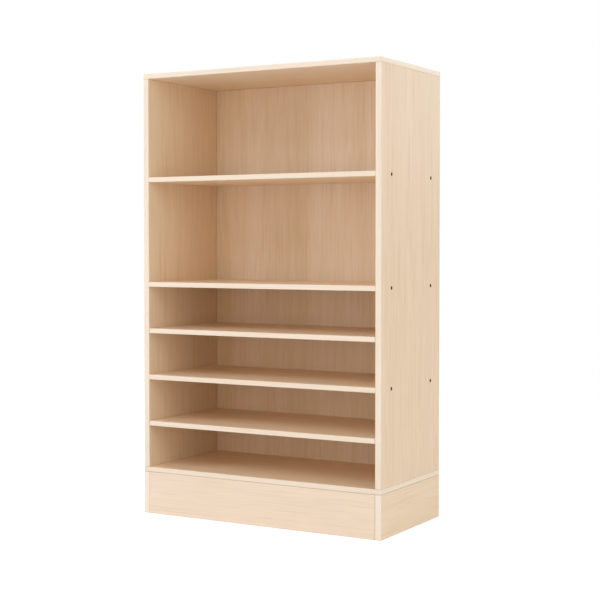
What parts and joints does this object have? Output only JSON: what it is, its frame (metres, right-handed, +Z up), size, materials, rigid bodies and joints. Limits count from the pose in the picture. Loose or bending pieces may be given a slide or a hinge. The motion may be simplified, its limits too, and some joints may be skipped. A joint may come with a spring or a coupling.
{
  "type": "open shelving cabinet",
  "caption": "Tall open-fronted cabinet of light laminated board on a closed plinth, with fixed shelves screwed through the sides and loose shelves on pins, for books, binders and paper.",
  "frame": {"origin": "on the floor, under the middle of the cabinet's plan", "axes": "+X to the right of someone facing the open front, +Y to the back, +Z up"},
  "size_m": [0.82, 0.4, 1.3585],
  "materials": {
    "laminate": "satin",
    "edge_band": "satin",
    "hardboard": "satin",
    "dark_steel": "satin",
    "zinc_steel": "satin",
    "dowel_wood": "matte"
  },
  "bodies": {
    "carcass": {"back_panel": "hardboard", "back_panel_nails": "zinc_steel", "bottom_panel": "laminate", "bottom_panel_back_band": "edge_band", "bottom_panel_dowels": "dowel_wood", "bottom_panel_front_band": "edge_band", "bottom_panel_left_band": "edge_band", "bottom_panel_right_band": "edge_band", "bottom_panel_screws": "dark_steel", "left_shelf_screws": "dark_steel", "left_side": "laminate", "left_side_back_band": "edge_band", "left_side_front_band": "edge_band", "lower_loose_shelf_pins": "zinc_steel", "lower_shelf": "laminate", "lower_shelf_front_band": "edge_band", "middle_shelf": "laminate", "middle_shelf_front_band": "edge_band", "plinth_back": "laminate", "plinth_bracket_screws": "zinc_steel", "plinth_brackets": "zinc_steel", "plinth_dowels": "dowel_wood", "plinth_front": "laminate", "plinth_left": "laminate", "plinth_left_back_band": "edge_band", "plinth_left_front_band": "edge_band", "plinth_right": "laminate", "plinth_right_back_band": "edge_band", "plinth_right_front_band": "edge_band", "right_shelf_screws": "dark_steel", "right_side": "laminate", "right_side_back_band": "edge_band", "right_side_front_band": "edge_band", "top_panel": "laminate", "top_panel_back_band": "edge_band", "top_panel_dowels": "dowel_wood", "top_panel_front_band": "edge_band", "top_panel_left_band": "edge_band", "top_panel_right_band": "edge_band", "top_panel_screws": "dark_steel", "upper_loose_shelf_pins": "zinc_steel", "upper_shelf": "laminate", "upper_shelf_front_band": "edge_band"},
    "upper_pull_out_shelf": {"upper_loose_shelf": "laminate", "upper_loose_shelf_back_band": "edge_band", "upper_loose_shelf_front_band": "edge_band", "upper_loose_shelf_left_band": "edge_band", "upper_loose_shelf_right_band": "edge_band"},
    "lower_pull_out_shelf": {"lower_loose_shelf": "laminate", "lower_loose_shelf_back_band": "edge_band", "lower_loose_shelf_front_band": "edge_band", "lower_loose_shelf_left_band": "edge_band", "lower_loose_shelf_right_band": "edge_band"}
  },
  "joints": [
    {"name": "upper_shelf_draw", "type": "slide", "parent": "carcass", "child": "upper_pull_out_shelf", "axis": [0, -1, 0], "range_m": [0, 0.4]},
    {"name": "lower_shelf_draw", "type": "slide", "parent": "carcass", "child": "lower_pull_out_shelf", "axis": [0, -1, 0], "range_m": [0, 0.4]}
  ]
}
